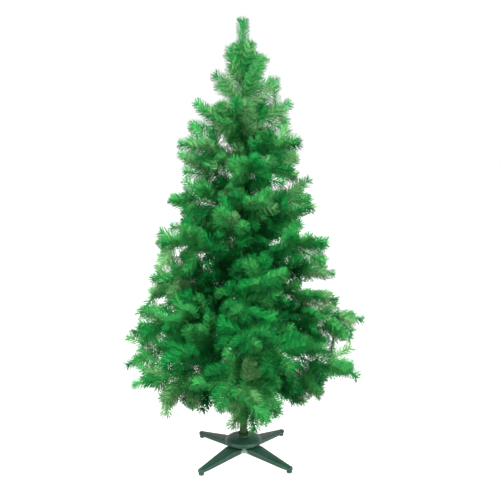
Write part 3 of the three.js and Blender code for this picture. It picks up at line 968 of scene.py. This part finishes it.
# One leg along +X, extruded section by section from the hub to the tip
def modelLeg():
    x = leg["inner"]
    middle = (legTop(x) + legLow(x)) / 2
    bpy.ops.mesh.primitive_plane_add(size=1, location=(x, 0, middle), rotation=(0, math.pi / 2, 0))
    piece = bpy.context.object
    piece.name = "leg"
    bpy.ops.object.transform_apply()
    bpy.ops.object.mode_set(mode="EDIT")
    bpy.ops.mesh.select_mode(type="FACE")
    bpy.ops.mesh.select_all(action="SELECT")
    width, depth = 2 * legWidth(x), legTop(x) - legLow(x)
    bpy.ops.transform.resize(value=(1, width, depth), center_override=(x, 0, middle))
    tip = leg["padAt"] + leg["tipHalfWidth"]
    for station in [*leg["stations"], tip]:
        nextMiddle = (legTop(station) + legLow(station)) / 2
        nextWidth, nextDepth = 2 * legWidth(station), legTop(station) - legLow(station)
        move = (station - x, 0, nextMiddle - middle)
        bpy.ops.mesh.extrude_region_move(TRANSFORM_OT_translate={"value": move})
        bpy.ops.transform.resize(value=(1, nextWidth / width, nextDepth / depth),
                                 center_override=(station, 0, nextMiddle))
        x, middle, width, depth = station, nextMiddle, nextWidth, nextDepth
    faceOut()
    # the round end: both upright edges at the tip, bevelled to meet
    selectWhere(piece, "EDGE", lambda a, b: min(a.x, b.x) > tip - 0.001 and abs(a.z - b.z) > 0.004)
    bpy.ops.mesh.bevel(offset=leg["tipHalfWidth"] * leg["tipRound"], segments=10, affect="EDGES",
                       clamp_overlap=False)
    # the top is rounded over along its sides and end
    selectWhere(piece, "FACE", isLegTop)
    bpy.ops.mesh.region_to_loop()
    bpy.ops.mesh.bevel(offset=leg["edge"], segments=4, affect="EDGES", clamp_overlap=False)
    # the hollow under it: an inset floor pushed up
    hollowTo = leg["padAt"] - leg["hollowEnd"]
    selectWhere(piece, "FACE", lambda face: face.normal.z < -0.8 and face.center.x < hollowTo)
    bpy.ops.mesh.inset(thickness=leg["wall"], use_boundary=True)
    bpy.ops.mesh.extrude_region_move(TRANSFORM_OT_translate={"value": (0, 0, leg["hollow"])})
    # crowned top: cut lengthwise, then raised between the edges
    for share in leg["crownCuts"]:
        selectWhere(piece, "FACE", isLegTop)
        slope = (leg["tipHalfWidth"] - leg["widest"]) / (leg["padAt"] - leg["widest"]) * share
        bpy.ops.mesh.bisect(plane_co=(leg["widest"], leg["widest"] * share, 0), plane_no=(-slope, 1, 0))
    bpy.ops.object.mode_set(mode="OBJECT")
    for vertex in piece.data.vertices:
        place = vertex.co
        aside = min(1, abs(place.y) / max(0.001, legWidth(place.x)))
        if place.z > legTop(place.x) - leg["edge"] - 0.0005:
            place.z += leg["crown"] * (1 - aside**2)
    soften(piece, leg["softEdge"], segments=2, angle=50)
    pad = addPad()
    selectOnly(piece)
    pad.select_set(True)
    bpy.ops.object.join()
    piece.data.materials.append(plastic)
    return piece


def placeLegs():
    model = modelLeg()
    for number in range(leg["count"]):
        selectOnly(model)
        if number < leg["count"] - 1:
            bpy.ops.object.duplicate()
        piece = bpy.context.object
        piece.name = f"stand_leg_{number + 1}_moulded"
        piece.rotation_euler = (0, 0, math.radians(leg["turn"] + 360 * number / leg["count"]))
        bpy.ops.object.transform_apply()
        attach(piece, "root")
        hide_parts(f"stand_leg_{number + 1}")
    print("legs", leg["count"], "of", len(piece.data.polygons), "faces")


placeLegs()

# Webs under the hub's lip, one in each notch between two legs, pale with a painted highlight

web = {
    # from its back over its crest to its foot: distance outwards, half the width, and height
    "corners": [(0.0532, 0.0002, 0.038), (0.0532, 0.0002, 0.0585), (0.0575, 0.0028, 0.0585),
                (0.0645, 0.0147, 0.036), (0.0645, 0.0147, 0.033)],
    "edge": 0.0012,
    # the pale colour is a painted highlight, the gloss of the front lights on the web's face
    "colour": (0.095, 0.165, 0.135),
    "shade": 0.7,  # of that colour, in the darker patches
}


def paintedHighlightWebFinish():
    material, tree, shader = newMaterial("web plastic, painted highlight")
    blotches = noiseOf(tree, 70, detail=4)
    pale = web["colour"]
    rampOf(tree, blotches.outputs["Fac"], [(0.3, [part * web["shade"] for part in pale]), (0.7, pale)],
           shader.inputs["Base Color"])
    rangeOf(tree, blotches.outputs["Fac"], 0.30, 0.45, shader.inputs["Roughness"])
    return material


def modelWebs():
    corners = np.array([(out, side * half, height)
                        for out, half, height in web["corners"] for side in (-1, 1)])
    # lower face, back, top, front, rim, and both sides
    outline = [(0, 1, 9, 8), (0, 2, 3, 1), (2, 4, 5, 3), (4, 6, 7, 5), (6, 8, 9, 7),
               (0, 8, 6, 4, 2), (1, 3, 5, 7, 9)]
    finish = paintedHighlightWebFinish()
    for number in range(leg["count"]):
        turn = math.radians(leg["turn"] + 360 * (number + 0.5) / leg["count"])
        cos, sin = math.cos(turn), math.sin(turn)
        placed = corners @ np.array([(cos, sin, 0), (-sin, cos, 0), (0, 0, 1)])
        mesh = bpy.data.meshes.new("web")
        mesh.from_pydata(placed.tolist(), [], outline)
        piece = bpy.data.objects.new(f"stand_web_{number + 1}", mesh)
        scene.collection.objects.link(piece)
        selectOnly(piece)
        bpy.ops.object.mode_set(mode="EDIT")
        faceOut()
        soften(piece, web["edge"])
        piece.data.materials.append(finish)
        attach(piece, "root")
        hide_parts("stand_hub")
    print("webs", leg["count"], "of", len(piece.data.polygons), "faces")


modelWebs()

# Trunk: a stepped pole wound with tape, with a short fringe standing out of it

trunk = {
    "sides": 28,
    "ring": 0.0024,  # distance between the rings that carry the relief
    "tapePitch": 0.021,
    "tapeStep": 0.0006,  # how far each turn of the tape lies over the last
    "tapeRise": 0.9,  # share of a turn over which it rises, before it drops to the next
    "ripple": 0.0004,
    "rippleSize": 0.006,
    "fringe": 0.0042,  # length of a blade of the fringe
    "fringeWidth": 0.0007,
    "fringeLean": (46, 78),
    "fringeSwing": 0.5,
    "fringeJitter": (0.7, 1.1),
    "fringeSink": 0.0009,  # how far the blades' roots lie inside the pole's radius
    "fringeDensity": 7500,  # blades on a metre of pole
    "fringeFrom": 0.092,
    "fringeTo": 0.45,  # above this the brushes hide it
    "skirtTo": 0.102,  # up to here longer blades hang over the hub's collar
    "skirt": 0.0085,
    "skirtLean": (-40, 15),
    "skirtCount": 300,
}
barkColours = {"dark": (0.003, 0.014, 0.003), "light": (0.020, 0.052, 0.009)}
fringeColours = {"moss": (0.006, 0.034, 0.005), "olive": (0.022, 0.055, 0.008)}


def barkFinish():
    material, tree, shader = newMaterial("pole tape")
    patches = noiseOf(tree, 130, detail=5, roughness=0.65)
    rampOf(tree, patches.outputs["Fac"], [(0.36, barkColours["dark"]), (0.64, barkColours["light"])],
           shader.inputs["Base Color"])
    rangeOf(tree, patches.outputs["Fac"], 0.5, 0.8, shader.inputs["Roughness"])
    shader.inputs["Specular IOR Level"].default_value = 0.2
    threads = noiseOf(tree, 600, detail=3)
    bumpOf(tree, threads.outputs["Fac"], 0.5, 0.0006, shader)
    return material


def trunkProfile():
    low = pole["foot"]
    profile = []
    for radius, to in pole["sections"]:
        radius -= trunk["tapeStep"] + trunk["ripple"]
        profile += [(radius, low), (radius, to)]
        low = to + pole["shoulder"]
    return profile


def windTape(piece):
    mesh = piece.data
    places = np.empty(3 * len(mesh.vertices))
    mesh.vertices.foreach_get("co", places)
    places = places.reshape(-1, 3)
    turn = np.arctan2(places[:, 1], places[:, 0]) / (2 * np.pi)
    lap = (places[:, 2] / trunk["tapePitch"] - turn) % 1
    rise = trunk["tapeRise"]
    relief = trunk["tapeStep"] * np.where(lap < rise, lap / rise, (1 - lap) / (1 - rise))
    for row, place in enumerate(places):
        relief[row] += trunk["ripple"] * noise.noise(Vector(place) / trunk["rippleSize"])
    radius = np.hypot(places[:, 0], places[:, 1])
    places[:, :2] *= (1 + relief / radius)[:, None]
    mesh.vertices.foreach_set("co", places.ravel())
    mesh.update()


def modelTrunk():
    piece = turnPiece("trunk_wound", trunkProfile(), trunk["sides"])
    low = pole["foot"]
    for radius, to in pole["sections"]:
        # the section's long upright edges are cut into rings
        selectWhere(piece, "EDGE", lambda a, b: abs(a.z - b.z) > 0.05
                    and min(a.z, b.z) > low - 0.001 and max(a.z, b.z) < to + 0.001)
        bpy.ops.mesh.subdivide(number_cuts=int((to - low) / trunk["ring"]))
        bpy.ops.object.mode_set(mode="OBJECT")
        low = to + pole["shoulder"]
    windTape(piece)
    selectOnly(piece)
    bpy.ops.object.shade_smooth_by_angle(angle=math.radians(50))
    piece.data.materials.append(barkFinish())
    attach(piece, "root")
    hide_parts("trunk_pole")
    print("trunk", len(piece.data.polygons), "faces")


def growFringe():
    for name, colour in fringeColours.items():
        low, high = trunk["fringeFrom"], trunk["fringeTo"]
        count = int(trunk["fringeDensity"] * (high - low) / len(fringeColours))
        total = count + trunk["skirtCount"]
        isSkirt = np.arange(total) >= count
        height = np.where(isSkirt, rng.uniform(low, trunk["skirtTo"], total), rng.uniform(low, high, total))
        roots, outward = aroundPole(height, trunk["fringeSink"])
        lean = np.radians(np.where(isSkirt, rng.uniform(*trunk["skirtLean"], total),
                                   rng.uniform(*trunk["fringeLean"], total)))
        length = np.where(isSkirt, trunk["skirt"], trunk["fringe"])
        length = length * rng.uniform(*trunk["fringeJitter"], total)
        swing = rng.uniform(-trunk["fringeSwing"], trunk["fringeSwing"], total)
        aims = unit(outward * np.cos(lean)[:, None] + up * np.sin(lean)[:, None]
                    + np.cross(up, outward) * swing[:, None])
        corners = bladesOf(roots, aims, rng.uniform(0, np.pi, total), length, trunk["fringeWidth"])
        piece = bladePiece(f"trunk_fringe_{name}", corners, needleFinish(f"fringe {name}", colour))
        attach(piece, "root")
        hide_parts("trunk_pole")
        print("fringe", name, total, "blades")


modelTrunk()
growFringe()

# Floor, light and look

floor = {"size": 40, "colour": (0.35, 0.35, 0.35), "roughness": 0.9, "glow": 1.0}


def layFloor():
    bpy.ops.mesh.primitive_plane_add(size=floor["size"])
    plane = bpy.context.object
    plane.name = "floor"
    material, tree, shader = newMaterial("floor")
    shader.inputs["Base Color"].default_value = (*floor["colour"], 1)
    shader.inputs["Roughness"].default_value = floor["roughness"]
    shader.inputs["Emission Strength"].default_value = floor["glow"]
    plane.data.materials.append(material)


softboxes = [
    {"place": (-1.6, -2.7, 4.0), "size": 1.8, "power": 420},
    {"place": (1.9, -2.6, 3.3), "size": 1.6, "power": 260},
    {"place": (-3.0, -1.6, 1.2), "size": 1.4, "power": 100},
    {"place": (3.0, -1.6, 1.2), "size": 1.4, "power": 100},
    {"place": (0, 1.2, 3.8), "size": 2.4, "power": 160},
]
lightsAim = Vector((0, 0, 0.9))


def lightStage():
    world = bpy.data.worlds.new("studio")
    world.use_nodes = True
    scene.world = world
    world.node_tree.nodes["Background"].inputs["Color"].default_value = (1, 1, 1, 1)
    for number, box in enumerate(softboxes):
        data = bpy.data.lights.new(f"softbox {number + 1}", "AREA")
        data.energy = box["power"]
        data.size = box["size"]
        light = bpy.data.objects.new(data.name, data)
        light.location = box["place"]
        light.rotation_euler = (light.location - lightsAim).to_track_quat("Z", "Y").to_euler()
        scene.collection.objects.link(light)
    scene.view_settings.view_transform = "Standard"
    print("stage with", len(softboxes), "lights")


layFloor()
lightStage()
